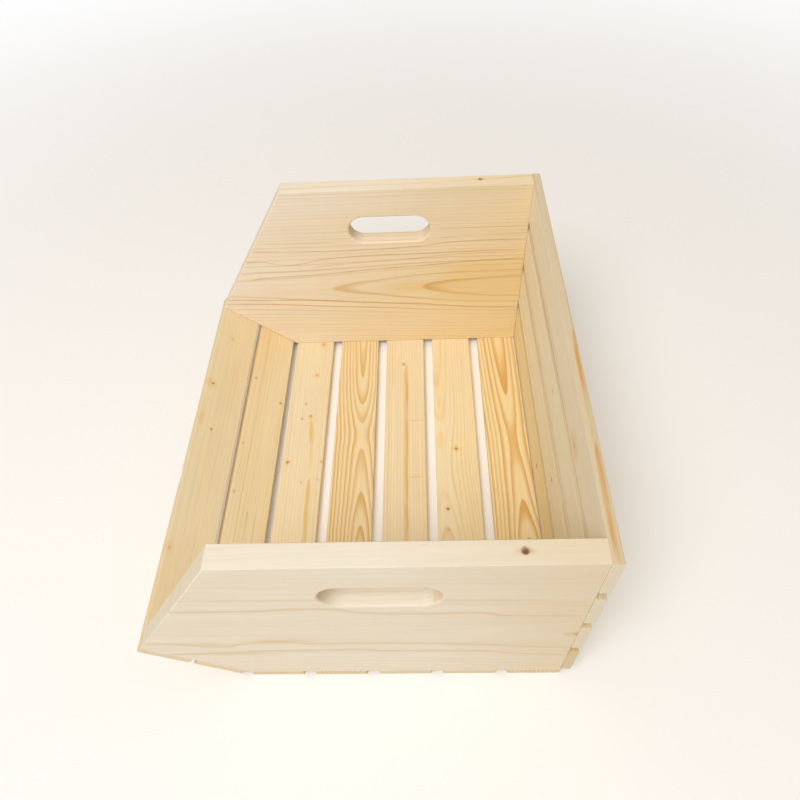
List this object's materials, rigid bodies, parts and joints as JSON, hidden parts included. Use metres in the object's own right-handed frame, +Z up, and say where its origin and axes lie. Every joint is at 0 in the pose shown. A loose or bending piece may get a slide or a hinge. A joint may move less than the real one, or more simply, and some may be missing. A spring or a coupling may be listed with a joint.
{
  "type": "kindling box",
  "caption": "Open-topped slatted pine box with a low sloping front and an oval hand hole through each solid end, for carrying and storing kindling by a stove.",
  "frame": {"origin": "on the floor, below the middle of the box's overall outline", "axes": "+X along the slats, the longest way, towards the right end as seen from the open front; +Y towards the closed slatted back; +Z up"},
  "size_m": [0.46, 0.3996, 0.25],
  "materials": {
    "pine_end_panel": "bare planed pine, eased edges",
    "pine_bottom_slat": "bare planed pine",
    "pine_back_slat": "bare planed pine",
    "pine_front_slat": "bare planed pine",
    "zinc_screw": "bright zinc plate"
  },
  "bodies": {
    "root": {"end_panel_left": "pine_end_panel", "end_panel_right": "pine_end_panel", "bottom_slat_1": "pine_bottom_slat", "bottom_slat_1_screw_1": "zinc_screw", "bottom_slat_1_screw_2": "zinc_screw", "bottom_slat_1_screw_3": "zinc_screw", "bottom_slat_1_screw_4": "zinc_screw", "bottom_slat_2": "pine_bottom_slat", "bottom_slat_2_screw_1": "zinc_screw", "bottom_slat_2_screw_2": "zinc_screw", "bottom_slat_2_screw_3": "zinc_screw", "bottom_slat_2_screw_4": "zinc_screw", "bottom_slat_3": "pine_bottom_slat", "bottom_slat_3_screw_1": "zinc_screw", "bottom_slat_3_screw_2": "zinc_screw", "bottom_slat_3_screw_3": "zinc_screw", "bottom_slat_3_screw_4": "zinc_screw", "bottom_slat_4": "pine_bottom_slat", "bottom_slat_4_screw_1": "zinc_screw", "bottom_slat_4_screw_2": "zinc_screw", "bottom_slat_4_screw_3": "zinc_screw", "bottom_slat_4_screw_4": "zinc_screw", "bottom_slat_5": "pine_bottom_slat", "bottom_slat_5_screw_1": "zinc_screw", "bottom_slat_5_screw_2": "zinc_screw", "bottom_slat_5_screw_3": "zinc_screw", "bottom_slat_5_screw_4": "zinc_screw", "back_slat_1": "pine_back_slat", "back_slat_1_screw_1": "zinc_screw", "back_slat_1_screw_2": "zinc_screw", "back_slat_1_screw_3": "zinc_screw", "back_slat_1_screw_4": "zinc_screw", "back_slat_2": "pine_back_slat", "back_slat_2_screw_1": "zinc_screw", "back_slat_2_screw_2": "zinc_screw", "back_slat_2_screw_3": "zinc_screw", "back_slat_2_screw_4": "zinc_screw", "back_slat_3": "pine_back_slat", "back_slat_3_screw_1": "zinc_screw", "back_slat_3_screw_2": "zinc_screw", "back_slat_3_screw_3": "zinc_screw", "back_slat_3_screw_4": "zinc_screw", "back_slat_4": "pine_back_slat", "back_slat_4_screw_1": "zinc_screw", "back_slat_4_screw_2": "zinc_screw", "back_slat_4_screw_3": "zinc_screw", "back_slat_4_screw_4": "zinc_screw", "front_slat_upper": "pine_front_slat", "front_slat_upper_screw_1": "zinc_screw", "front_slat_upper_screw_2": "zinc_screw", "front_slat_upper_screw_3": "zinc_screw", "front_slat_upper_screw_4": "zinc_screw", "front_slat_lower": "pine_front_slat", "front_slat_lower_screw_1": "zinc_screw", "front_slat_lower_screw_2": "zinc_screw", "front_slat_lower_screw_3": "zinc_screw", "front_slat_lower_screw_4": "zinc_screw"}
  },
  "joints": []
}
